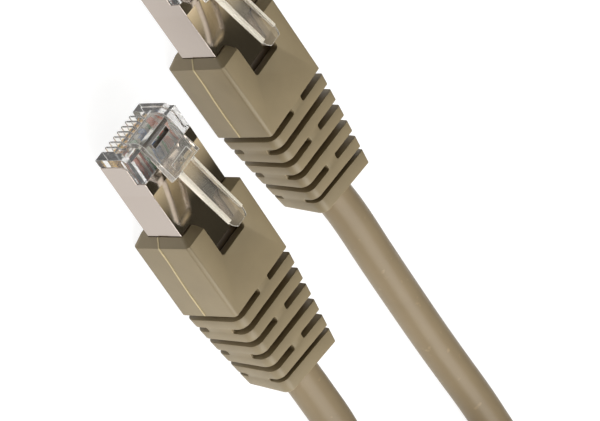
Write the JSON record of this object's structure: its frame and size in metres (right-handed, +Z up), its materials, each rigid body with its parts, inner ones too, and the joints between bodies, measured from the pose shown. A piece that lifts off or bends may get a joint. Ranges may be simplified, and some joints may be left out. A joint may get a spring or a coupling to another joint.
{
  "type": "ethernet patch cable",
  "caption": "Shielded network patch cable with clear modular plugs, sprung latches and ribbed strain-relief boots, its round cord coiled flat.",
  "frame": {"origin": "middle of the bounding box of the two plugs with their boots, on the surface that they lie on", "axes": "+X from the plug noses back along the cord, +Y across from the first plug to the second, +Z up through the latches"},
  "size_m": [0.1561, 0.07, 0.0152],
  "materials": {
    "clear_plastic": "polished clear polycarbonate",
    "plated_steel": "bright nickel plate",
    "bar_plastic": "clear moulded",
    "boot_vinyl": "soft moulded vinyl, lightly grained",
    "jacket_vinyl": "smooth extruded vinyl",
    "tinned_braid": "woven tinned copper",
    "gold_contact": "gold plate",
    "wire_white_orange": "thin extruded insulation",
    "wire_orange": "thin extruded insulation",
    "wire_white_green": "thin extruded insulation",
    "wire_blue": "thin extruded insulation",
    "wire_white_blue": "thin extruded insulation",
    "wire_green": "thin extruded insulation",
    "wire_white_brown": "thin extruded insulation",
    "wire_brown": "thin extruded insulation"
  },
  "bodies": {
    "cable": {"plug_housing_a": "clear_plastic", "shield_shell_a": "plated_steel", "load_bar_a": "bar_plastic", "boot_a": "boot_vinyl", "folded_braid_a": "tinned_braid", "jacket_end_a": "jacket_vinyl", "contact_1_a": "gold_contact", "wire_1_a": "wire_white_orange", "contact_2_a": "gold_contact", "wire_2_a": "wire_orange", "contact_3_a": "gold_contact", "wire_3_a": "wire_white_green", "contact_4_a": "gold_contact", "wire_4_a": "wire_blue", "contact_5_a": "gold_contact", "wire_5_a": "wire_white_blue", "contact_6_a": "gold_contact", "wire_6_a": "wire_green", "contact_7_a": "gold_contact", "wire_7_a": "wire_white_brown", "contact_8_a": "gold_contact", "wire_8_a": "wire_brown", "plug_housing_b": "clear_plastic", "shield_shell_b": "plated_steel", "load_bar_b": "bar_plastic", "boot_b": "boot_vinyl", "folded_braid_b": "tinned_braid", "jacket_end_b": "jacket_vinyl", "contact_1_b": "gold_contact", "wire_1_b": "wire_white_orange", "contact_2_b": "gold_contact", "wire_2_b": "wire_orange", "contact_3_b": "gold_contact", "wire_3_b": "wire_white_green", "contact_4_b": "gold_contact", "wire_4_b": "wire_blue", "contact_5_b": "gold_contact", "wire_5_b": "wire_white_blue", "contact_6_b": "gold_contact", "wire_6_b": "wire_green", "contact_7_b": "gold_contact", "wire_7_b": "wire_white_brown", "contact_8_b": "gold_contact", "wire_8_b": "wire_brown", "cord_a": "jacket_vinyl", "cord_b": "jacket_vinyl", "cord_coil": "jacket_vinyl"},
    "latch_a": {"latch_lever_a": "clear_plastic"},
    "latch_b": {"latch_lever_b": "clear_plastic"}
  },
  "joints": [
    {"name": "latch_a_press", "type": "hinge", "parent": "cable", "child": "latch_a", "pos_m": [-0.01471, -0.01099, 0.0098], "axis": [0, 1, 0], "range_deg": [0, 10], "stiffness_Nm_per_rad": 0.4},
    {"name": "latch_b_press", "type": "hinge", "parent": "cable", "child": "latch_b", "pos_m": [-0.02791, 0.01028, 0.0098], "axis": [-0.0279, 0.9996, 0], "range_deg": [0, 10], "stiffness_Nm_per_rad": 0.4}
  ]
}
